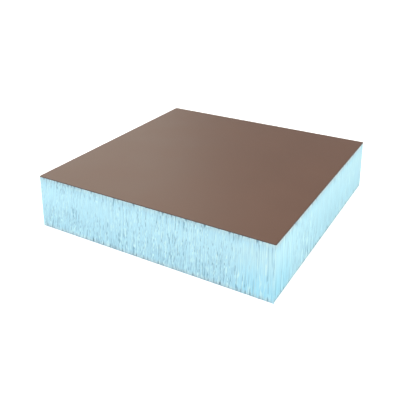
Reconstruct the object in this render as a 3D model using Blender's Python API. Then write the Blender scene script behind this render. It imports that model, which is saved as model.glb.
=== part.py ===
"""Cut piece of cement-coated insulation board: a foam slab with a thin cement coat on its upper face.

Lengths are in metres and +Z is up. The origin is at the middle of the underside, X runs
along the board's length and Y along its width.
"""

import bmesh
import bpy
from mathutils import Vector

# Driving dimensions of the whole board, coat included
BOARD_LENGTH = 0.230
BOARD_WIDTH = 0.230
BOARD_THICKNESS = 0.050

# Cement coat, and the gap that stands for its bond to the foam
COAT_THICKNESS = 0.0008
BOND_GAP = 0.0003

# Upright corners, rounded a little by handling
CORNER_RADIUS = 0.0010
CORNER_SEGMENTS = 6

# Long edges: the foam's around the underside, the coat's around the upper face
FOAM_EDGE_RADIUS = 0.0005
COAT_EDGE_RADIUS = 0.0002
EDGE_SEGMENTS = 3

# Two heights closer than this are the same level
LEVEL_TOLERANCE = 0.00001

FOAM_COLOUR = (0.50, 0.80, 0.91, 1.0)
FOAM_ROUGHNESS = 0.75
COAT_COLOUR = (0.20, 0.125, 0.10, 1.0)
COAT_ROUGHNESS = 0.5


def clear_scene():
    for old in list(bpy.data.objects):
        bpy.data.objects.remove(old, do_unlink=True)


def make_material(name, colour, roughness):
    """A plain non-metallic material of one colour."""
    material = bpy.data.materials.new(name)
    material.use_nodes = True
    shader = material.node_tree.nodes["Principled BSDF"]
    shader.inputs["Base Color"].default_value = colour
    shader.inputs["Roughness"].default_value = roughness
    shader.inputs["Metallic"].default_value = 0.0
    return material


def rises(edge):
    """True for an edge between two levels, such as an upright corner."""
    low, high = sorted(corner.co.z for corner in edge.verts)
    return high - low > LEVEL_TOLERANCE


def lies_at(edge, level):
    return all(abs(corner.co.z - level) < LEVEL_TOLERANCE for corner in edge.verts)


def round_edges(shape, edges, radius, segments):
    bmesh.ops.bevel(
        shape,
        geom=edges,
        offset=radius,
        offset_type="OFFSET",
        affect="EDGES",
        segments=segments,
        profile=0.5,
        clamp_overlap=True,
        material=-1,
    )


def make_layer(name, height, rim_level, rim_radius, material):
    """A layer of the board from z = 0 up to its height, with its upright corners and one rim rounded."""
    shape = bmesh.new()
    bmesh.ops.create_cube(shape, size=1.0)
    bmesh.ops.scale(shape, vec=Vector((BOARD_LENGTH, BOARD_WIDTH, height)), verts=shape.verts)
    bmesh.ops.translate(shape, vec=Vector((0.0, 0.0, height / 2)), verts=shape.verts)
    upright_corners = [edge for edge in shape.edges if rises(edge)]
    round_edges(shape, upright_corners, CORNER_RADIUS, CORNER_SEGMENTS)
    rim = [edge for edge in shape.edges if lies_at(edge, rim_level)]
    round_edges(shape, rim, rim_radius, EDGE_SEGMENTS)
    mesh = bpy.data.meshes.new(name)
    shape.to_mesh(mesh)
    shape.free()
    mesh.materials.append(material)
    layer = bpy.data.objects.new(name, mesh)
    bpy.context.scene.collection.objects.link(layer)
    return layer


def make_foam_slab(height):
    """The extruded foam, which is nearly all of the board. Its lower rim is the rounded one."""
    material = make_material("blue_foam", FOAM_COLOUR, FOAM_ROUGHNESS)
    return make_layer("foam_slab", height, 0.0, FOAM_EDGE_RADIUS, material)


def make_cement_coat():
    """The thin trowelled coat, cut flush with the foam all round. Its upper rim is the rounded one."""
    material = make_material("cement_coat", COAT_COLOUR, COAT_ROUGHNESS)
    return make_layer("cement_coat", COAT_THICKNESS, COAT_THICKNESS, COAT_EDGE_RADIUS, material)


def build():
    clear_scene()
    foam_height = BOARD_THICKNESS - COAT_THICKNESS - BOND_GAP
    foam_slab = make_foam_slab(foam_height)
    cement_coat = make_cement_coat()
    cement_coat.parent = foam_slab
    cement_coat.location.z = foam_height + BOND_GAP


build()
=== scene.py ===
"""Dresses a cut piece of cement-coated insulation board and lights it in a pale studio.

The foam slab gets sides that the saw has drawn into upright fibres, and the cement coat its
smooth, fine-grained finish. Lengths are in metres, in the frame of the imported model.
"""

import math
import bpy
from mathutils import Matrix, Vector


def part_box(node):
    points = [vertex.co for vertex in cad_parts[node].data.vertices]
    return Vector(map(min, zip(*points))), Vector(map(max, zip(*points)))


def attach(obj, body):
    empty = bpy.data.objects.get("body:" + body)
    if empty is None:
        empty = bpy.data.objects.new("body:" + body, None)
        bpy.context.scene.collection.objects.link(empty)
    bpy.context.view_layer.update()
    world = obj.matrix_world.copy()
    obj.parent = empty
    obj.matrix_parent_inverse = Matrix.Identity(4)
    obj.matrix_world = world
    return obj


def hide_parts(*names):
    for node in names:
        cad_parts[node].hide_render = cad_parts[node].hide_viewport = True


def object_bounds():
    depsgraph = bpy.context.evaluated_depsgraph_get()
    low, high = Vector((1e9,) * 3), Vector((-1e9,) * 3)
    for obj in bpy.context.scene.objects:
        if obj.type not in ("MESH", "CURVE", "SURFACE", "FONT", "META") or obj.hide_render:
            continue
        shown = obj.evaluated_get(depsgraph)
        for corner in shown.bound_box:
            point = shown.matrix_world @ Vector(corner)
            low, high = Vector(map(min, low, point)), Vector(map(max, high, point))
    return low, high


bl_info = {
    "name": "Cement-Coated Insulation Board",
    "version": (1, 0, 0),
    "blender": (4, 5, 0),
    "location": "3D View > Sidebar > Insulation Board",
    "description": "Models the sawn foam and the cement coat of a board, and sets a pale studio round it",
    "category": "Object",
}

import bmesh
import bpy
from bpy.props import FloatProperty, FloatVectorProperty, PointerProperty
from bpy.types import Operator, Panel, PropertyGroup
from mathutils import Vector, noise

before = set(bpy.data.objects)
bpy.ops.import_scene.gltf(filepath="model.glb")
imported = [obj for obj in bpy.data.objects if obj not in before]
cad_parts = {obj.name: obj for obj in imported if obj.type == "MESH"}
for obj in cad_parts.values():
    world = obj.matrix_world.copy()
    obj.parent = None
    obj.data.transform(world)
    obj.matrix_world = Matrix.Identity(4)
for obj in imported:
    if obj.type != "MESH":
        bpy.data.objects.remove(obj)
CAD_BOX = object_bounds()
FOAM_LOW, FOAM_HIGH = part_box("foam_slab")
COAT_LOW, COAT_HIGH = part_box("cement_coat")

# The outlines, with the radii of the solid model. An edge longer than LONG_SIDE_LEAST is a side, not
# part of a rounded corner.
CORNER_RADIUS = 0.0010
CORNER_SEGMENTS = 4
FOOT_RADIUS = 0.0005
ARRIS_RADIUS = 0.0002
LONG_SIDE_LEAST = 4.0 * CORNER_RADIUS

# The foam reaches up to the coat, less a hair that keeps their faces apart
BOND_HAIR = 0.00002

# Rows of faces on the foam's sides: heights above the foot, the spacing half-way up and distances
# below the top. FOOT_BORDER is the width of the border of faces round the underside.
FOOT_ROWS = (0.00012, 0.0003, 0.0006, 0.0011, 0.0017, 0.0025, 0.0035, 0.0047, 0.0060)
MIDDLE_ROW = 0.0020
RIM_ROWS = (0.0060, 0.0047, 0.0036, 0.0026, 0.0018, 0.0011, 0.0005)
FOOT_BORDER = 0.0008

# Heights of the rows of faces on the coat's sawn edge
COAT_ROWS = (0.0002, 0.0004, 0.0006, 0.00065, 0.0007, 0.00075, 0.00078)

# Spans over which the fibres wander, and over which the saw tore more or less
SWAY_SPAN = Vector((0.025, 0.025, 0.035))
PATCH_SPAN = Vector((0.045, 0.045, 0.022))

# What fades out with the distance from an upright edge is whole within this share of its reach
WHOLE_WITHIN = 0.3

# The upright edge where the saw left the board and drew the longest fibres, and how far that shows.
# A height there counts for fewer fibre lengths, by DRAWN_STRETCH.
DRAG_CORNER = Vector((FOAM_HIGH.x, FOAM_LOW.y))
DRAG_REACH = 0.045
DRAWN_STRETCH = 0.6

# Fibres lean more the farther they are from that edge: this share of the lean comes within
# DRAG_REACH, and the rest between these distances
NEAR_LEAN = 0.25
LEAN_REACH = (0.12, 0.22)

# A darker, bluer colour low down by that edge: how much of it, and the heights between which it comes, as
# shares of the foam's height
LOW_CORNER_TINT = 0.7
LOW_CORNER_SPAN = (0.8, 0.1)

# The upright edges are worn within this reach: the tears lose their depth and this share of their colour,
# which turns paler towards the crest colour as a painted highlight along the uprights
UPRIGHT_WEAR_AND_HIGHLIGHT = 0.0013
WORN_AND_HIGHLIGHT_SHARE = 0.45

# The cross cuts, along Y, left wider and straighter fibres
CROSS_CUT_WIDTH = 2.2
CROSS_CUT_LENGTH = 1.6
CROSS_CUT_LEAN = 0.3
CROSS_CUT_SEED = 50.37

# How frayed the foam is: a level, and what patches, the foot and the head add to it. The spans are
# in shares of the height up to the coat, and the result stays in FRAY_RANGE.
FRAY_LEVEL = 0.55
FRAY_PATCHES = 0.80
FRAY_FOOT = 0.40
FRAY_FOOT_SPAN = (0.85, 0.0)
FRAY_HEAD = 0.30
FRAY_HEAD_SPAN = (0.70, 0.95)
FRAY_RANGE = (0.12, 1.0)

# What comes off the fraying: on the cross cuts a part at their front end and more from the middle
# on, and by the drawn edge a part low down and more high up
CROSS_CUT_CLEAN = 0.38
CROSS_CUT_CLEANER = 0.24
DRAWN_CLEAN = 0.05
DRAWN_CLEANER = 0.30
DRAWN_CLEANER_SPAN = (0.3, 0.8)

# How torn the foam is, from 0 on a crest to 1 in a slit: the level of the underside and that of the
# sides, and what the lower part, the strip under the coat and the foot add. What the strip under the coat
# adds is also painted shade under the coat, and what the foot adds a painted contact shadow.
# LOW_TEAR_SPAN is in shares of the foam's height, and the reaches are distances from the rim.
UNDERSIDE_LEVEL = 0.30
SIDE_LEVEL = 0.32
LOW_TEAR = 0.15
LOW_TEAR_SPAN = (0.9, 0.1)
HEAD_TEAR_AND_SHADE = 0.16
HEAD_TEAR_REACH = (0.0110, 0.0020)
FOOT_TEAR_AND_SHADOW = 0.16
CROSS_CUT_FOOT_TEAR_AND_SHADOW = 0.24
FOOT_TEAR_REACH = (0.0013, 0.0004)

# What comes off the tearing: by the drawn edge on the sides along X, and over this span along Y on
# the cross cuts
DRAWN_CREST = 0.10
CROSS_CUT_CREST = 0.08
CROSS_CUT_CREST_SPAN = (-0.04, FOAM_HIGH.y)

# Between its slits a side comes out to the sawn plane over these distances below the coat
SEAM_FADE = (0.0001, 0.0008)

# Strokes in the relief and slits: seed, width in fibre widths and length in fibre lengths, and how
# strong they are. A slit is what a strong stroke has above SLIT_START. Slits by the drawn edge lose
# a share of their depth.
RELIEF_STROKES = (1.3, 1.1, 0.45)
RELIEF_STRENGTH = 0.17
SLIT_STROKES = (8.3, 1.4, 0.45)
SLIT_STRENGTH = 1.4
SLIT_START = 0.45
DRAWN_SLIT_LOSS = 0.7

# A stroke fades out between these distances from its middle, counted in the spacing of the strokes.
# STROKE_DRAW spreads the middles out over the cells that hold the strength of each.
STROKE_EDGE = (0.52, 0.28)
STROKE_DRAW = 9.1

# Nicks on the rims, at most one in each slot: a seed, a slot's length in fibre widths, how far the
# longest nick reaches from the rim, and the depth of the deepest one as a share of NICK_DEPTH. That
# is counted like the tearing.
TOP_NICKS = (3.9, 7.0, 0.0048, 0.82)
FOOT_NICKS = (6.2, 6.0, 0.0085, 0.90)
CROSS_CUT_FOOT_NICKS = (6.2, 4.2, 0.0070, 1.10)
NICK_DEPTH = 1.35

# The share of slots with a nick, where its middle lies and how wide it is on either side, as shares
# of the slot. Then the shortest and the shallowest nick, as shares of the largest, and how far
# inside its outline a nick is whole. Nicks fade out within NICK_CLEARANCE of an upright edge.
NICK_CHANCE = 0.7
NICK_MIDDLE = (0.3, 0.7)
NICK_HALF_WIDTH = (0.18, 0.38)
SHORTEST_NICK = 0.25
SHALLOWEST_NICK = 0.5
NICK_SLOPE = 0.4
NICK_CLEARANCE = 0.0040

# Chips come off the lower edge: the levels of tearing between which they grow to their full height,
# and how far up the side they reach
CHIP_TEAR = (0.55, 1.0)
CHIP_REACH = 0.0012

# Dust rubbed into the foam just under the coat, where the cross cuts took more, and round the foot. It
# also paints the shade under the coat and a contact shadow round the foot.
DUST_AND_SHADE_REACH = 0.0048
DUST_AND_SHADE_SHARE = 0.15
CROSS_CUT_DUST_AND_SHADE_SHARE = 0.35
FOOT_DUST_AND_SHADOW_REACH = 0.0050
FOOT_DUST_AND_SHADOW_SHARE = 0.20

# What the foam's sides hand on to its material, as a number at each corner of the mesh
FOAM_NOTES = ("torn", "frayed", "low_corner", "dust_and_shade")

# Marks in the foam's material. HAIR_SCALE is how many hairs go into a fibre width and a fibre length.
# Threads have a spacing and a seed, and strokes a spacing, a length and a seed, in fibre widths and
# lengths. MARK_STRENGTH is how much the marks change the tearing that sets the colour, so that dark
# threads and strokes paint shade and pale ones paint highlight.
HAIR_SCALE = (1.6, 1.6, 1.5)
DARK_THREADS = (2.0, 17.3)
PALE_THREADS = (2.4, 53.3)
THREAD_STRENGTH = 5.1
FINE_STROKES = (0.75, 0.28, 31.0)
MARK_STRENGTH = 0.16

# A thread ends between these distances of its noise from the middle value, and wanders over
# THREAD_WANDER fibre lengths. A second noise fades it in and out: its height in fibre lengths, how
# much finer it is, the values between which the thread comes in, and its seed.
THREAD_EDGE = (0.07, 0.02)
THREAD_WANDER = 1.8
THREAD_FADE = 0.28
THREAD_FADE_SCALE = 1.6
THREAD_SHOWN = (0.46, 0.56)
THREAD_FADE_SEED = 5.5

# Levels of tearing over which the foam's colour goes from crest to sawn, to slit and to nick: paler on
# crests as a painted highlight, and darker in slits and nicks as painted shade
CREST_TO_SAWN = (0.0, 0.35)
SAWN_TO_SLIT = (0.35, 1.0)
SLIT_TO_NICK = (0.9, 1.3)

# The values that most of a noise lies between, and the tints that it is turned into
NOISE_SPAN = (0.3, 0.7)
HAIR_TINT = (0.96, 1.04)
CLOUD_TINT = (0.97, 1.03)
SAND_TINT = (0.94, 1.06)

# Size of the foam's cells, and the finish of both pieces. The coat's roughness varies with clouds.
CELL_SIZE = 0.00035
FOAM_ROUGHNESS = 0.75
FOAM_SHINE = 0.3
COAT_ROUGHNESS = (0.40, 0.46)
COAT_SHINE = 0.5

# The colour of the coat's edge, a painted shade darker than the coat, fades in over EDGE_FADE below its
# upper face. The cross cuts' own colour, a darker painted shade, is whole within CROSS_CUT_STRIP of their
# plane, and gone at twice that.
EDGE_FADE = 0.0001
CROSS_CUT_STRIP = 0.0005

# The coat's crumbled edge, in grains of sand: seed, width and height of the bites and of the finer
# roughness. Bites grow between two values of their noise. ROUGH_SHARE is the mean depth of the
# roughness, as a share of that of the deepest bites.
SAND_GRAIN = 0.0010
BITES = (4.4, 2.2, 1.2)
BITE_EDGE = (0.15, 0.55)
ROUGH_GRAIN = (7.7, 0.8, 0.6)
ROUGH_SHARE = 0.15

# Camera placing: sideways and up across its line of sight, and the shift of its lens
CAMERA_SIDEWAYS = -0.0126
CAMERA_RAISE = 0.1038
CAMERA_SHIFT = -0.25

WHITE = (1.0, 1.0, 1.0)

# The floor and its glow, which rises to white between two distances from the middle
FLOOR_COLOUR = (0.82, 0.82, 0.82)
FLOOR_RADIUS = 8.0
FLOOR_SEGMENTS = 64
FLOOR_GAP = 0.0002
FLOOR_GLOW = 0.60
GLOW_REACH = (0.6, 1.8)

# The white backdrop fades out between directions that rise this much, as sines of their elevation
BACKDROP_FADE = (0.18, 0.26)

# Lamps: name, azimuth and elevation in degrees, distance, width, height, brightness and colour
LAMPS = (
    ("overhead_softbox", 0.0, 90.0, 1.6, 1.4, 1.4, 1.65, WHITE),
    ("left_back_panel", -122.5, 34.0, 1.8, 1.5, 1.1, 1.48, (0.95, 1.0, 0.88)),
    ("left_front_softbox", -45.0, 30.0, 1.5, 1.0, 1.0, 3.22, WHITE),
    ("right_front_softbox", 75.0, 30.0, 1.5, 1.0, 1.0, 3.58, (1.0, 0.995, 0.92)),
)


class FoamSettings(PropertyGroup):
    """Sizes and colours of the foam slab."""

    column_width: FloatProperty(
        name="Column width",
        description="Width of one column of faces along the foam's sides",
        default=0.00034,
        min=0.0002,
        precision=5,
        unit="LENGTH",
    )
    fibre_width: FloatProperty(
        name="Fibre width",
        description="Distance across the fibres that the saw has drawn up and down the sides",
        default=0.0006,
        precision=5,
        unit="LENGTH",
    )
    fibre_length: FloatProperty(
        name="Fibre length",
        description="Height over which a fibre keeps its shape",
        default=0.0140,
        precision=4,
        unit="LENGTH",
    )
    fibre_lean: FloatProperty(
        name="Fibre lean",
        description="Lean of the fibres towards the corner where the saw came out, at the far ends",
        default=math.radians(9.0),
        subtype="ANGLE",
    )
    fibre_sway: FloatProperty(
        name="Fibre sway",
        description="How far a fibre wanders sideways from its lean",
        default=0.0004,
        precision=5,
        unit="LENGTH",
    )
    tear_depth: FloatProperty(
        name="Tear depth",
        description="Depth of the deepest slits behind the sawn plane. Nicks are up to half deeper",
        default=0.0009,
        precision=5,
        unit="LENGTH",
    )
    chip_height: FloatProperty(
        name="Chip height",
        description="Height of the deepest chips out of the lower edge",
        default=0.0010,
        precision=5,
        unit="LENGTH",
    )
    colour: FloatVectorProperty(
        name="Foam colour",
        description="Colour of the cleanly sawn foam",
        default=(0.52, 0.84, 0.975),
        size=3,
        min=0.0,
        max=1.0,
        subtype="COLOR",
    )
    # Crest colour: partly crushed fibre, partly a painted highlight on the fibres that stand proud
    crest_highlight_colour: FloatVectorProperty(
        name="Crest colour",
        description="Colour of the crushed, paler fibres that stand proud",
        default=(0.665, 0.945, 1.0),
        size=3,
        min=0.0,
        max=1.0,
        subtype="COLOR",
    )
    # Low corner colour: darker and bluer, low down by the drawn corner
    low_corner_colour: FloatVectorProperty(
        name="Deep colour",
        description="Colour of the denser foam that shows low down by the drawn corner",
        default=(0.37, 0.80, 1.0),
        size=3,
        min=0.0,
        max=1.0,
        subtype="COLOR",
    )
    # Slit colour: painted shade down in the slits and nicks
    slit_shade_colour: FloatVectorProperty(
        name="Slit colour",
        description="Colour down in the deepest slits and nicks",
        default=(0.25, 0.49, 0.63),
        size=3,
        min=0.0,
        max=1.0,
        subtype="COLOR",
    )
    # Nick colour: painted shade in the nicks
    nick_shade_colour: FloatVectorProperty(
        name="Nick colour",
        description="Colour in the shade of the nicks on both rims",
        default=(0.10, 0.25, 0.36),
        size=3,
        min=0.0,
        max=1.0,
        subtype="COLOR",
    )
    # Dust colour: dust that also paints shade under the coat and a contact shadow round the foot
    dust_and_shade_colour: FloatVectorProperty(
        name="Dust colour",
        description="Colour of the dust rubbed into the foam under the coat and round the foot",
        default=(0.70, 0.50, 0.38),
        size=3,
        min=0.0,
        max=1.0,
        subtype="COLOR",
    )


class CoatSettings(PropertyGroup):
    """Sizes and colours of the cement coat."""

    column_width: FloatProperty(
        name="Column width",
        description="Width of one column of faces along the coat's sawn edge",
        default=0.0005,
        min=0.0002,
        precision=5,
        unit="LENGTH",
    )
    crumble_depth: FloatProperty(
        name="Crumble depth",
        description="Depth of the largest bites out of the coat's upper edge",
        default=0.0002,
        precision=5,
        unit="LENGTH",
    )
    colour: FloatVectorProperty(
        name="Coat colour",
        description="Colour of the cement coat",
        default=(0.176, 0.095, 0.066),
        size=3,
        min=0.0,
        max=1.0,
        subtype="COLOR",
    )
    # Edge colour: painted shade on the coat's sawn edge
    edge_shade_colour: FloatVectorProperty(
        name="Edge colour",
        description="Colour of the coat's sawn edge",
        default=(0.078, 0.056, 0.052),
        size=3,
        min=0.0,
        max=1.0,
        subtype="COLOR",
    )
    # Cross-cut colour: darker painted shade on the sawn edge of the cross cuts
    cross_cut_shade_colour: FloatVectorProperty(
        name="Cross-cut colour",
        description="Colour of the coat's sawn edge on the cross cuts, where it is darker",
        default=(0.020, 0.024, 0.032),
        size=3,
        min=0.0,
        max=1.0,
        subtype="COLOR",
    )
    grain_size: FloatProperty(
        name="Grain size",
        description="Size of the sand grains that just show in the coat",
        default=0.0004,
        precision=5,
        unit="LENGTH",
    )


class StudioSettings(PropertyGroup):
    """Camera, backdrop and lamps."""

    azimuth: FloatProperty(
        name="Camera azimuth",
        description="Bearing of the camera round the board, from the middle of its front side",
        default=math.radians(30.18),
        subtype="ANGLE",
    )
    elevation: FloatProperty(
        name="Camera elevation",
        description="Height of the camera's line of sight above the level",
        default=math.radians(17.19),
        subtype="ANGLE",
    )
    distance: FloatProperty(
        name="Camera distance",
        description="Distance from the camera to the middle of the underside, along the line of sight",
        default=0.5723,
        precision=4,
        unit="LENGTH",
    )
    lens: FloatProperty(
        name="Lens",
        description="Focal length",
        default=51.75,
        subtype="DISTANCE_CAMERA",
    )
    world_level: FloatProperty(
        name="Room level",
        description="Brightness of the room above the white backdrop",
        default=0.15,
        min=0.0,
        soft_max=1.0,
    )


def smooth_step(low, high, value):
    """0 below low, 1 above high, and an even rise between."""
    share = min(max((value - low) / (high - low), 0.0), 1.0)
    return share * share * (3.0 - 2.0 * share)


def between(low, high, share):
    """The value at a share of the way from low to high."""
    return low + (high - low) * share


def add_node(tree, kind, inputs=None, **settings):
    """A shader node with its settings and its unlinked inputs filled in."""
    node = tree.nodes.new(kind)
    for name, value in settings.items():
        setattr(node, name, value)
    for name, value in (inputs or {}).items():
        node.inputs[name].default_value = value
    return node


def new_material(name):
    """A new material, its node tree and its Principled BSDF."""
    material = bpy.data.materials.new(name)
    material.use_nodes = True
    return material, material.node_tree, material.node_tree.nodes["Principled BSDF"]


def rgba(colour):
    return (*colour, 1.0)


def grain_group():
    """Fine round grain of a given size: a speckle for the colour and a height for the bump."""
    found = bpy.data.node_groups.get("fine_grain")
    if found:
        return found
    tree = bpy.data.node_groups.new("fine_grain", "ShaderNodeTree")
    tree.interface.new_socket("Vector", in_out="INPUT", socket_type="NodeSocketVector")
    tree.interface.new_socket("Per Metre", in_out="INPUT", socket_type="NodeSocketFloat")
    tree.interface.new_socket("Speckle", in_out="OUTPUT", socket_type="NodeSocketFloat")
    tree.interface.new_socket("Height", in_out="OUTPUT", socket_type="NodeSocketFloat")
    given = tree.nodes.new("NodeGroupInput")
    result = tree.nodes.new("NodeGroupOutput")
    grains = add_node(tree, "ShaderNodeTexVoronoi", feature="F1")
    cloud = add_node(tree, "ShaderNodeTexNoise", {"Detail": 2.0, "Roughness": 0.6})
    for texture in (grains, cloud):
        tree.links.new(given.outputs["Vector"], texture.inputs["Vector"])
        tree.links.new(given.outputs["Per Metre"], texture.inputs["Scale"])
    mask = add_node(
        tree, "ShaderNodeMapRange", {"From Min": 0.15, "From Max": 0.75, "To Min": 1.0, "To Max": 0.0}
    )
    height = add_node(tree, "ShaderNodeMath", operation="MULTIPLY")
    tree.links.new(grains.outputs["Distance"], mask.inputs["Value"])
    tree.links.new(mask.outputs["Result"], height.inputs[0])
    tree.links.new(cloud.outputs["Fac"], height.inputs[1])
    tree.links.new(cloud.outputs["Fac"], result.inputs["Speckle"])
    tree.links.new(height.outputs["Value"], result.inputs["Height"])
    return tree


def add_grain(tree, place, size):
    """A fine_grain group of the given grain size, reading the given place."""
    grain = tree.nodes.new("ShaderNodeGroup")
    grain.node_tree = grain_group()
    grain.inputs["Per Metre"].default_value = 1.0 / size
    tree.links.new(place, grain.inputs["Vector"])
    return grain


def add_hairs(tree, along, scale, offset):
    """Smooth noise along the fibres, finer or longer by the given scale."""
    stretch = add_node(tree, "ShaderNodeMapping", {"Scale": scale, "Location": (offset, offset, offset)})
    texture = add_node(tree, "ShaderNodeTexNoise", {"Scale": 1.0, "Detail": 0.0})
    tree.links.new(along, stretch.inputs["Vector"])
    tree.links.new(stretch.outputs["Vector"], texture.inputs["Vector"])
    return texture.outputs["Fac"]


def add_strokes(tree, along, spacing, length, offset):
    """Scattered lens-shaped strokes along the fibres: 1 in a slit, -1 on a ridge and 0 between them."""
    scale = (1.0 / spacing, 1.0 / spacing, 1.0 / length)
    stretch = add_node(tree, "ShaderNodeMapping", {"Scale": scale, "Location": (offset, offset, offset)})
    spots = add_node(tree, "ShaderNodeTexVoronoi", {"Scale": 1.0}, feature="F1")
    draw = tree.nodes.new("ShaderNodeSeparateColor")
    tree.links.new(along, stretch.inputs["Vector"])
    tree.links.new(stretch.outputs["Vector"], spots.inputs["Vector"])
    tree.links.new(spots.outputs["Color"], draw.inputs["Color"])
    shape = map_range(tree, spots.outputs["Distance"], *STROKE_EDGE)
    return multiply(tree, shape, map_range(tree, draw.outputs["Red"], 0.0, 1.0, -1.0, 1.0))


def add_threads(tree, along, spacing, offset):
    """Thin upright threads along the fibres, which fade in and out: 1 on a thread and 0 beside it."""
    field = add_hairs(tree, along, (1.0 / spacing, 1.0 / spacing, 1.0 / THREAD_WANDER), offset)
    away = add_node(tree, "ShaderNodeMath", {1: 0.5}, operation="SUBTRACT")
    tree.links.new(field, away.inputs[0])
    across = add_node(tree, "ShaderNodeMath", operation="ABSOLUTE")
    tree.links.new(away.outputs["Value"], across.inputs[0])
    thread = map_range(tree, across.outputs["Value"], *THREAD_EDGE)
    finer = THREAD_FADE_SCALE / spacing
    fade = add_hairs(tree, along, (finer, finer, 1.0 / THREAD_FADE), offset + THREAD_FADE_SEED)
    return multiply(tree, thread, map_range(tree, fade, *THREAD_SHOWN))


def add_scaled(tree, value, scale, rest):
    """The value times a plain number, plus the rest."""
    node = add_node(tree, "ShaderNodeMath", {1: scale}, operation="MULTIPLY_ADD")
    tree.links.new(value, node.inputs[0])
    tree.links.new(rest, node.inputs[2])
    return node.outputs["Value"]


def multiply(tree, first, second):
    node = add_node(tree, "ShaderNodeMath", operation="MULTIPLY")
    tree.links.new(first, node.inputs[0])
    tree.links.new(second, node.inputs[1])
    return node.outputs["Value"]


def mix_colour(tree, factor, first, second, blend="MIX"):
    """Mixes two colours. Each is a socket or a plain colour, and so is the factor or a number."""
    mix = add_node(tree, "ShaderNodeMix", data_type="RGBA", blend_type=blend)
    for name, value in (("Factor", factor), ("A", first), ("B", second)):
        socket = [s for s in mix.inputs if s.name == name and s.enabled][0]
        if isinstance(value, bpy.types.NodeSocket):
            tree.links.new(value, socket)
        else:
            socket.default_value = value
    return [s for s in mix.outputs if s.enabled][0]


def map_range(tree, value, from_low, from_high, to_low=0.0, to_high=1.0):
    """The value's place between two values, as a share or as a value between two others."""
    node = add_node(
        tree,
        "ShaderNodeMapRange",
        {"From Min": from_low, "From Max": from_high, "To Min": to_low, "To Max": to_high},
    )
    tree.links.new(value, node.inputs["Value"])
    return node.outputs["Result"]


def foam_material(settings):
    """Pale blue foam: paler on crests as a painted highlight, greyer in slits and nicks as painted shade,
    and dusty at the rims, where the dust also paints shade under the coat and a shadow round the foot,
    with cells in the bump.
    """
    material, tree, shader = new_material("blue_foam")
    place = tree.nodes.new("ShaderNodeTexCoord").outputs["Object"]
    along = add_node(tree, "ShaderNodeAttribute", attribute_name="along_fibres").outputs["Vector"]
    torn, frayed, low_corner, dust_and_shade = (
        add_node(tree, "ShaderNodeAttribute", attribute_name=name).outputs["Fac"] for name in FOAM_NOTES
    )
    hair = add_hairs(tree, along, HAIR_SCALE, 0.0)
    dark_threads = add_threads(tree, along, *DARK_THREADS)
    threads = add_scaled(tree, add_threads(tree, along, *PALE_THREADS), -1.0, dark_threads)
    marks = add_scaled(tree, threads, THREAD_STRENGTH, add_strokes(tree, along, *FINE_STROKES))
    strokes = multiply(tree, marks, frayed)
    cells = add_grain(tree, place, CELL_SIZE)

    depth = add_scaled(tree, strokes, MARK_STRENGTH, torn)
    off_crest = map_range(tree, depth, *CREST_TO_SAWN)
    in_slit = map_range(tree, depth, *SAWN_TO_SLIT)
    in_nick = map_range(tree, torn, *SLIT_TO_NICK)
    hair_tint = map_range(tree, hair, *NOISE_SPAN, *HAIR_TINT)
    # Darker and bluer low down by the drawn corner
    sawn = mix_colour(tree, low_corner, rgba(settings.colour), rgba(settings.low_corner_colour))
    # Painted highlight on crests and painted shade in slits and nicks, following the depth of the tearing
    crest_highlighted = mix_colour(tree, off_crest, rgba(settings.crest_highlight_colour), sawn)
    slit_shaded = mix_colour(tree, in_slit, crest_highlighted, rgba(settings.slit_shade_colour))
    nick_shaded = mix_colour(tree, in_nick, slit_shaded, rgba(settings.nick_shade_colour))
    coloured = mix_colour(tree, 1.0, nick_shaded, hair_tint, "MULTIPLY")
    # Dust, with painted shade under the coat and painted shadow round the foot
    dusted_and_shaded = mix_colour(tree, dust_and_shade, coloured, rgba(settings.dust_and_shade_colour))
    tree.links.new(dusted_and_shaded, shader.inputs["Base Color"])

    stroke_bump = add_node(tree, "ShaderNodeBump", {"Strength": 0.35, "Distance": 0.00007}, invert=True)
    tree.links.new(strokes, stroke_bump.inputs["Height"])
    cell_bump = add_node(tree, "ShaderNodeBump", {"Strength": 0.25, "Distance": 0.0001})
    tree.links.new(cells.outputs["Height"], cell_bump.inputs["Height"])
    tree.links.new(stroke_bump.outputs["Normal"], cell_bump.inputs["Normal"])
    tree.links.new(cell_bump.outputs["Normal"], shader.inputs["Normal"])
    shader.inputs["Roughness"].default_value = FOAM_ROUGHNESS
    shader.inputs["Specular IOR Level"].default_value = FOAM_SHINE
    return material


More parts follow.
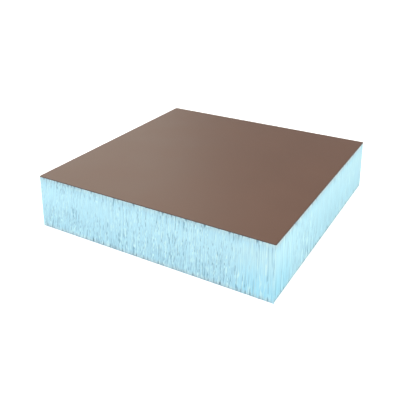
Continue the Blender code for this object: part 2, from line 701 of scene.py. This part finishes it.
def coat_material(settings):
    """Smooth brown-grey polymer cement with a satin face, faint clouds, fine sand and painted shade on
    its sawn edge.
    """
    material, tree, shader = new_material("cement_coat")
    place = tree.nodes.new("ShaderNodeTexCoord").outputs["Object"]
    clouds = add_node(tree, "ShaderNodeTexNoise", {"Scale": 22.0, "Detail": 3.0, "Roughness": 0.5})
    tree.links.new(place, clouds.inputs["Vector"])
    sand = add_grain(tree, place, settings.grain_size)

    mottled = map_range(tree, clouds.outputs["Fac"], *NOISE_SPAN, *CLOUD_TINT)
    clouded = mix_colour(tree, 1.0, rgba(settings.colour), mottled, "MULTIPLY")
    speckle = map_range(tree, sand.outputs["Speckle"], *NOISE_SPAN, *SAND_TINT)
    speckled = mix_colour(tree, 1.0, clouded, speckle, "MULTIPLY")
    parts = tree.nodes.new("ShaderNodeSeparateXYZ")
    tree.links.new(place, parts.inputs["Vector"])
    on_edge = map_range(tree, parts.outputs["Z"], COAT_HIGH.z - EDGE_FADE, COAT_HIGH.z, 1.0, 0.0)
    sideways = add_node(tree, "ShaderNodeMath", operation="ABSOLUTE")
    tree.links.new(parts.outputs["X"], sideways.inputs[0])
    by_side = (COAT_HIGH.x - 2.0 * CROSS_CUT_STRIP, COAT_HIGH.x - CROSS_CUT_STRIP)
    on_cross_cut = map_range(tree, sideways.outputs["Value"], *by_side)
    # Painted shade on the coat's sawn edge, darker on the cross cuts
    edge = mix_colour(tree, on_cross_cut, rgba(settings.edge_shade_colour), rgba(settings.cross_cut_shade_colour))
    coloured = mix_colour(tree, on_edge, speckled, edge)
    tree.links.new(coloured, shader.inputs["Base Color"])
    roughness = map_range(tree, clouds.outputs["Fac"], *NOISE_SPAN, *COAT_ROUGHNESS)
    tree.links.new(roughness, shader.inputs["Roughness"])

    bump = add_node(tree, "ShaderNodeBump", {"Strength": 0.12, "Distance": 0.0001})
    tree.links.new(sand.outputs["Height"], bump.inputs["Height"])
    tree.links.new(bump.outputs["Normal"], shader.inputs["Normal"])
    shader.inputs["Specular IOR Level"].default_value = COAT_SHINE
    return material


def wide_noise(place, spans):
    """Noise from -1 to 1 that changes over the given spans along X, Y and Z."""
    return noise.noise(Vector(a / b for a, b in zip(place, spans)))


def seeded(place, seed, width, length):
    """A place counted in the given widths across and lengths up, moved off by the seed."""
    return Vector((place.x / width + seed, place.y / width + seed, place.z / length + seed))


def stroke(place, seed, width, length):
    """Scattered lens-shaped strokes along the fibres: up to 1 in a slit, down to -1 on a ridge."""
    distances, middles = noise.voronoi(seeded(place, seed, width, length))
    return smooth_step(*STROKE_EDGE, distances[0]) * noise.cell(middles[0] * STROKE_DRAW)


def drawn_out(place):
    """How far the saw drew out the fibres at a place: 1 by the edge where it came out, 0 far off."""
    return smooth_step(DRAG_REACH, WHOLE_WITHIN * DRAG_REACH, (place.xy - DRAG_CORNER).length)


def cross_cut(place):
    """True on the two sides that face along X."""
    return abs(place.x) > abs(place.y)


def along_fibres(place, settings):
    """A place on a side counted in fibre widths across and fibre lengths up, along the leaning fibres."""
    drawn = drawn_out(place)
    height = place.z - FOAM_LOW.z
    from_corner = (place.xy - DRAG_CORNER).length
    slope = NEAR_LEAN * smooth_step(0.0, DRAG_REACH, from_corner)
    slope += (1.0 - NEAR_LEAN) * smooth_step(*LEAN_REACH, from_corner)
    lean = math.tan(settings.fibre_lean) * height * slope
    sway = wide_noise(place, SWAY_SPAN) * settings.fibre_sway * (1.0 - drawn)
    width = settings.fibre_width
    upward = height * (1.0 - DRAWN_STRETCH * drawn) / settings.fibre_length
    if cross_cut(place):
        along_side = DRAG_CORNER.y - place.y + sway - lean * CROSS_CUT_LEAN
        across = along_side / (width * CROSS_CUT_WIDTH)
        return Vector((across, place.x / width + CROSS_CUT_SEED, upward / CROSS_CUT_LENGTH))
    along_side = place.x - DRAG_CORNER.x + sway - lean
    return Vector((along_side / width, place.y / width, upward))


def fraying(place):
    """How much the saw has frayed the foam at a place. The cross cuts are cleaner."""
    share = (place.z - FOAM_LOW.z) / (COAT_LOW.z - FOAM_LOW.z)
    frayed = FRAY_LEVEL + FRAY_PATCHES * wide_noise(place, PATCH_SPAN)
    frayed += FRAY_FOOT * smooth_step(*FRAY_FOOT_SPAN, share)
    frayed += FRAY_HEAD * smooth_step(*FRAY_HEAD_SPAN, share)
    frayed -= (DRAWN_CLEAN + DRAWN_CLEANER * smooth_step(*DRAWN_CLEANER_SPAN, share)) * drawn_out(place)
    if cross_cut(place):
        frayed -= CROSS_CUT_CLEAN + CROSS_CUT_CLEANER * smooth_step(FOAM_LOW.y, 0.0, place.y)
    least, most = FRAY_RANGE
    return min(most, max(least, frayed))


def edge_nick(fibre_place, nicks, distance):
    """How deep a V-shaped nick is at a distance from its rim, or 0. Nicks differ in place and size."""
    seed, slot_length, reach, share = nicks
    slot = math.floor(fibre_place.x / slot_length)
    chance, shift, size = noise.cell_vector(Vector((slot + 0.5, fibre_place.y, seed)))
    if chance > NICK_CHANCE:
        return 0.0
    middle = slot + between(*NICK_MIDDLE, shift)
    across = abs(fibre_place.x / slot_length - middle) / between(*NICK_HALF_WIDTH, size)
    inward = distance / (reach * between(SHORTEST_NICK, 1.0, size))
    depth = smooth_step(0.0, NICK_SLOPE, 1.0 - across - inward)
    return share * depth * between(SHALLOWEST_NICK, 1.0, size)


def by_upright(place, reach):
    """1 on an upright edge and 0 beyond the reach from it."""
    from_upright = (FOAM_HIGH.xy - Vector((abs(place.x), abs(place.y)))).length
    return smooth_step(reach, WHOLE_WITHIN * reach, from_upright)


def tearing(place, fibre_place, frayed):
    """How torn the foam is at a place on its side: 0 on a crest, 1 in a slit, more in a nick."""
    height = place.z - FOAM_LOW.z
    below_coat = COAT_LOW.z - place.z
    level = SIDE_LEVEL + LOW_TEAR * smooth_step(*LOW_TEAR_SPAN, height / FOAM_HIGH.z)
    # Painted shade in the strip under the coat, as well as tearing
    level += HEAD_TEAR_AND_SHADE * smooth_step(*HEAD_TEAR_REACH, below_coat)
    # Painted contact shadow along the foot, as well as tearing
    at_foot = smooth_step(*FOOT_TEAR_REACH, height)
    if cross_cut(place):
        level += CROSS_CUT_FOOT_TEAR_AND_SHADOW * at_foot
        level -= CROSS_CUT_CREST * smooth_step(*CROSS_CUT_CREST_SPAN, place.y)
        foot_nicks = CROSS_CUT_FOOT_NICKS
    else:
        level += FOOT_TEAR_AND_SHADOW * at_foot - DRAWN_CREST * drawn_out(place)
        foot_nicks = FOOT_NICKS
    torn = level + RELIEF_STRENGTH * frayed * stroke(fibre_place, *RELIEF_STROKES)
    torn *= smooth_step(*SEAM_FADE, below_coat)
    slit = SLIT_STRENGTH * frayed * stroke(fibre_place, *SLIT_STROKES) - SLIT_START
    slit *= 1.0 - DRAWN_SLIT_LOSS * drawn_out(place)
    torn = max(0.0, min(1.0, torn), min(1.0, slit))
    # Paler by the upright edges: a painted highlight along them, as well as wear
    torn *= 1.0 - WORN_AND_HIGHLIGHT_SHARE * by_upright(place, UPRIGHT_WEAR_AND_HIGHLIGHT)
    nick = max(edge_nick(fibre_place, TOP_NICKS, below_coat), edge_nick(fibre_place, foot_nicks, height))
    return max(torn, NICK_DEPTH * nick * (1.0 - by_upright(place, NICK_CLEARANCE)))


def dust_and_shade_level(place):
    """Share of dust in the foam at a place on its side, most of it at the rims, where it also paints the
    shade under the coat and a contact shadow round the foot.
    """
    share = CROSS_CUT_DUST_AND_SHADE_SHARE if cross_cut(place) else DUST_AND_SHADE_SHARE
    under_coat = share * max(0.0, 1.0 - (COAT_LOW.z - place.z) / DUST_AND_SHADE_REACH)
    return max(under_coat, FOOT_DUST_AND_SHADOW_SHARE * smooth_step(FOOT_DUST_AND_SHADOW_REACH, 0.0, place.z - FOAM_LOW.z))


def foot_rounding(height):
    """How far the rounded foot lies behind the sawn plane at a height."""
    if height >= FOOT_RADIUS:
        return 0.0
    rise = FOOT_RADIUS - height
    return FOOT_RADIUS - math.sqrt(FOOT_RADIUS**2 - rise**2)


def arris_rounding(height):
    """How far the coat's rounded upper edge lies behind its sawn edge at a height above its foot."""
    rise = height - (COAT_HIGH.z - COAT_LOW.z - ARRIS_RADIUS)
    if rise <= 0.0:
        return 0.0
    return ARRIS_RADIUS - math.sqrt(max(0.0, ARRIS_RADIUS**2 - rise**2))


def outward(place):
    """The direction out of the board at a place on its outline, which has rounded corners."""
    reach = FOAM_HIGH.xy - Vector((CORNER_RADIUS, CORNER_RADIUS))
    nearest = Vector((min(max(place.x, -reach.x), reach.x), min(max(place.y, -reach.y), reach.y)))
    return (place.xy - nearest).normalized()


def foam_rows(top):
    """Heights of the rows of faces on the foam's sides, from the foot to the top."""
    heights = list(FOOT_ROWS)
    count = round((top - RIM_ROWS[0] - heights[-1]) / MIDDLE_ROW)
    step = (top - RIM_ROWS[0] - heights[-1]) / count
    heights += [heights[-1] + step * number for number in range(1, count)]
    return [*heights, *(top - below for below in RIM_ROWS), top]


def make_outline(shape, low, high, column_width):
    """One flat face with rounded corners, whose long sides are cut into columns."""
    bmesh.ops.create_grid(shape, x_segments=1, y_segments=1, size=0.5)
    size = high - low
    bmesh.ops.scale(shape, vec=Vector((size.x, size.y, 1.0)), verts=shape.verts)
    bmesh.ops.translate(shape, vec=Vector((0.0, 0.0, low.z)), verts=shape.verts)
    bmesh.ops.bevel(
        shape,
        geom=list(shape.verts),
        offset=CORNER_RADIUS,
        offset_type="OFFSET",
        affect="VERTICES",
        segments=CORNER_SEGMENTS,
        profile=0.5,
        material=-1,
    )
    long_sides = [edge for edge in shape.edges if edge.calc_length() > LONG_SIDE_LEAST]
    for side in long_sides:
        cuts = round(side.calc_length() / column_width) - 1
        bmesh.ops.subdivide_edges(shape, edges=[side], cuts=cuts)


def raise_sides(shape, heights):
    """Draws the outline up row by row and closes it at the top."""
    ring = list(shape.edges)
    level = 0.0
    for height in heights:
        made = bmesh.ops.extrude_edge_only(shape, edges=ring)["geom"]
        corners = [item for item in made if isinstance(item, bmesh.types.BMVert)]
        bmesh.ops.translate(shape, vec=Vector((0.0, 0.0, height - level)), verts=corners)
        new = set(corners)
        ring = [
            item
            for item in made
            if isinstance(item, bmesh.types.BMEdge) and item.verts[0] in new and item.verts[1] in new
        ]
        level = height
    bmesh.ops.edgeloop_fill(shape, edges=ring)
    bmesh.ops.recalc_face_normals(shape, faces=shape.faces)


def tear_sides(shape, corners, settings):
    """Moves the sides in by their tears, chips the lower edge, and keeps what the material reads."""
    notes = shape.verts.layers.float
    torn_note, frayed_note, low_corner_note, dust_and_shade_note = (notes[name] for name in FOAM_NOTES)
    along_note = shape.verts.layers.float_vector["along_fibres"]
    for corner in shape.verts:
        corner[torn_note] = UNDERSIDE_LEVEL
    for corner in corners:
        height = corner.co.z - FOAM_LOW.z
        fibre_place = along_fibres(corner.co, settings)
        frayed = fraying(corner.co)
        torn = tearing(corner.co, fibre_place, frayed)
        corner[torn_note] = torn
        corner[frayed_note] = frayed
        low_down = smooth_step(*LOW_CORNER_SPAN, height / FOAM_HIGH.z)
        corner[low_corner_note] = LOW_CORNER_TINT * drawn_out(corner.co) * low_down
        corner[dust_and_shade_note] = dust_and_shade_level(corner.co)
        corner[along_note] = fibre_place
        chip = smooth_step(*CHIP_TEAR, torn) * smooth_step(CHIP_REACH, 0.0, height) * settings.chip_height
        depth = settings.tear_depth * torn * (1.0 - by_upright(corner.co, UPRIGHT_WEAR_AND_HIGHLIGHT))
        depth += foot_rounding(height)
        corner.co -= (outward(corner.co) * depth).to_3d() - Vector((0.0, 0.0, chip))


def make_foam(settings):
    """The foam slab as one closed mesh with torn sides and plain upper and lower faces."""
    shape = bmesh.new()
    for name in FOAM_NOTES:
        shape.verts.layers.float.new(name)
    shape.verts.layers.float_vector.new("along_fibres")
    make_outline(shape, FOAM_LOW, FOAM_HIGH, settings.column_width)
    raise_sides(shape, foam_rows(COAT_LOW.z - BOND_HAIR - FOAM_LOW.z))
    corners = list(shape.verts)
    underside = min(shape.faces, key=lambda face: face.calc_center_median().z)
    bmesh.ops.inset_individual(shape, faces=[underside], thickness=FOOT_BORDER)
    tear_sides(shape, corners, settings)
    foam = finish_mesh(shape, "sawn_foam_slab")
    foam.data.materials.append(foam_material(settings))
    return foam


def crumble_edge(shape, settings):
    """Moves the coat's sawn edge in by its rounded upper edge and by small crumbled bites."""
    for corner in shape.verts:
        height = corner.co.z - COAT_LOW.z
        grain_place = corner.co / SAND_GRAIN
        bite = smooth_step(*BITE_EDGE, noise.noise(seeded(grain_place, *BITES))) * settings.crumble_depth
        uneven = 1.0 + noise.noise(seeded(grain_place, *ROUGH_GRAIN))
        rough = ROUGH_SHARE * uneven * settings.crumble_depth
        share = height / (COAT_HIGH.z - COAT_LOW.z)
        depth = arris_rounding(height) + rough + bite * share
        corner.co -= (outward(corner.co) * depth).to_3d()


def make_coat(settings):
    """The cement coat as one closed thin mesh with a sawn, slightly crumbled edge."""
    shape = bmesh.new()
    make_outline(shape, COAT_LOW, COAT_HIGH, settings.column_width)
    raise_sides(shape, [*COAT_ROWS, COAT_HIGH.z - COAT_LOW.z])
    crumble_edge(shape, settings)
    coat = finish_mesh(shape, "smooth_cement_coat")
    coat.data.materials.append(coat_material(settings))
    return coat


def finish_mesh(shape, name):
    """Turns the working mesh into an object: its small faces smooth, its two large ones flat."""
    for face in shape.faces:
        face.smooth = len(face.verts) == 4
    mesh = bpy.data.meshes.new(name)
    shape.to_mesh(mesh)
    shape.free()
    return add_object(name, mesh)


def add_object(name, data):
    item = bpy.data.objects.new(name, data)
    bpy.context.scene.collection.objects.link(item)
    return item


class BOARD_OT_foam_slab(Operator):
    """Model the foam slab with its torn, fibrous sides"""

    bl_idname = "board.foam_slab"
    bl_label = "Foam Slab"

    def execute(self, context):
        foam = make_foam(context.scene.board_foam)
        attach(foam, "root")
        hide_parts("foam_slab")
        return {"FINISHED"}


class BOARD_OT_cement_coat(Operator):
    """Model the cement coat with its sawn edge and its smooth, fine-grained face"""

    bl_idname = "board.cement_coat"
    bl_label = "Cement Coat"

    def execute(self, context):
        coat = make_coat(context.scene.board_coat)
        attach(coat, "root")
        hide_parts("cement_coat")
        return {"FINISHED"}


def direction(azimuth, elevation):
    """Unit vector from the board at a bearing round it: azimuth 0 is the middle of its front side."""
    level = math.cos(elevation)
    return Vector((math.sin(azimuth) * level, -math.cos(azimuth) * level, math.sin(elevation)))


def add_camera(settings):
    """The camera, looking down on the board's front corner, with a lens shift for the uprights."""
    data = bpy.data.cameras.new("camera")
    data.lens = settings.lens
    data.shift_y = CAMERA_SHIFT
    camera = add_object("camera", data)
    back = direction(settings.azimuth, settings.elevation)
    right = Vector((math.cos(settings.azimuth), math.sin(settings.azimuth), 0.0))
    upward = back.cross(right)
    camera.location = back * settings.distance + right * CAMERA_SIDEWAYS + upward * CAMERA_RAISE
    camera.rotation_euler = back.to_track_quat("Z", "Y").to_euler()
    bpy.context.scene.camera = camera


def floor_material():
    """A white floor that takes the board's shadow, with a glow that only views and reflections show."""
    material, tree, shader = new_material("white_floor")
    shader.inputs["Base Color"].default_value = rgba(FLOOR_COLOUR)
    shader.inputs["Roughness"].default_value = 1.0
    shader.inputs["Specular IOR Level"].default_value = 0.0
    path = tree.nodes.new("ShaderNodeLightPath")
    seen = add_node(tree, "ShaderNodeMath", operation="MAXIMUM")
    shown = add_node(tree, "ShaderNodeMath", operation="MAXIMUM")
    tree.links.new(path.outputs["Is Camera Ray"], seen.inputs[0])
    tree.links.new(path.outputs["Is Glossy Ray"], seen.inputs[1])
    tree.links.new(seen.outputs["Value"], shown.inputs[0])
    tree.links.new(path.outputs["Is Transmission Ray"], shown.inputs[1])
    place = tree.nodes.new("ShaderNodeTexCoord").outputs["Object"]
    away = add_node(tree, "ShaderNodeVectorMath", operation="LENGTH")
    tree.links.new(place, away.inputs[0])
    level = map_range(tree, away.outputs["Value"], *GLOW_REACH, FLOOR_GLOW, 1.0)
    glow = multiply(tree, shown.outputs["Value"], level)
    shader.inputs["Emission Color"].default_value = rgba(WHITE)
    tree.links.new(glow, shader.inputs["Emission Strength"])
    return material


def add_floor():
    """A wide round floor just under the board."""
    shape = bmesh.new()
    bmesh.ops.create_circle(shape, cap_ends=True, segments=FLOOR_SEGMENTS, radius=FLOOR_RADIUS)
    bmesh.ops.translate(shape, vec=Vector((0.0, 0.0, CAD_BOX[0].z - FLOOR_GAP)), verts=shape.verts)
    mesh = bpy.data.meshes.new("floor")
    shape.to_mesh(mesh)
    shape.free()
    mesh.materials.append(floor_material())
    floor = add_object("floor", mesh)


def add_world(settings):
    """A white backdrop all round, fading into a quieter room above it."""
    world = bpy.data.worlds.new("studio")
    world.use_nodes = True
    tree = world.node_tree
    background = tree.nodes["Background"]
    way = tree.nodes.new("ShaderNodeTexCoord").outputs["Generated"]
    parts = tree.nodes.new("ShaderNodeSeparateXYZ")
    tree.links.new(way, parts.inputs["Vector"])
    level = map_range(tree, parts.outputs["Z"], *BACKDROP_FADE, 1.0, settings.world_level)
    tree.links.new(level, background.inputs["Strength"])
    background.inputs["Color"].default_value = rgba(WHITE)
    bpy.context.scene.world = world


def add_softbox(name, azimuth, elevation, distance, width, height, brightness, colour):
    """A soft rectangular lamp that faces the board. White paper has a brightness of 1."""
    data = bpy.data.lights.new(name, "AREA")
    data.color = colour
    data.shape = "RECTANGLE"
    data.size = width
    data.size_y = height
    data.energy = brightness * math.pi * width * height
    lamp = add_object(name, data)
    towards = direction(math.radians(azimuth), math.radians(elevation))
    lamp.location = towards * distance
    lamp.rotation_euler = towards.to_track_quat("Z", "Y").to_euler()
    lamp.visible_camera = False


class BOARD_OT_studio(Operator):
    """Set up the camera, the white floor and backdrop, and the soft lamps"""

    bl_idname = "board.studio"
    bl_label = "Studio"

    def execute(self, context):
        settings = context.scene.board_studio
        add_camera(settings)
        add_floor()
        add_world(settings)
        for lamp in LAMPS:
            add_softbox(*lamp)
        context.scene.view_settings.view_transform = "Standard"
        return {"FINISHED"}


class BOARD_PT_sidebar(Panel):
    """Builds the board and its studio from the sidebar."""

    bl_label = "Insulation Board"
    bl_idname = "BOARD_PT_sidebar"
    bl_space_type = "VIEW_3D"
    bl_region_type = "UI"
    bl_category = "Insulation Board"

    def draw(self, context):
        scene = context.scene
        for operator, settings in (
            (BOARD_OT_foam_slab, scene.board_foam),
            (BOARD_OT_cement_coat, scene.board_coat),
            (BOARD_OT_studio, scene.board_studio),
        ):
            box = self.layout.box()
            box.operator(operator.bl_idname)
            for name in settings.__annotations__:
                box.prop(settings, name)


CLASSES = (
    FoamSettings,
    CoatSettings,
    StudioSettings,
    BOARD_OT_foam_slab,
    BOARD_OT_cement_coat,
    BOARD_OT_studio,
    BOARD_PT_sidebar,
)


def register():
    for item in CLASSES:
        bpy.utils.register_class(item)
    bpy.types.Scene.board_foam = PointerProperty(type=FoamSettings)
    bpy.types.Scene.board_coat = PointerProperty(type=CoatSettings)
    bpy.types.Scene.board_studio = PointerProperty(type=StudioSettings)


def unregister():
    del bpy.types.Scene.board_studio
    del bpy.types.Scene.board_coat
    del bpy.types.Scene.board_foam
    for item in reversed(CLASSES):
        bpy.utils.unregister_class(item)


def main():
    register()
    bpy.ops.board.foam_slab()
    bpy.ops.board.cement_coat()
    bpy.ops.board.studio()


if __name__ == "__main__":
    main()
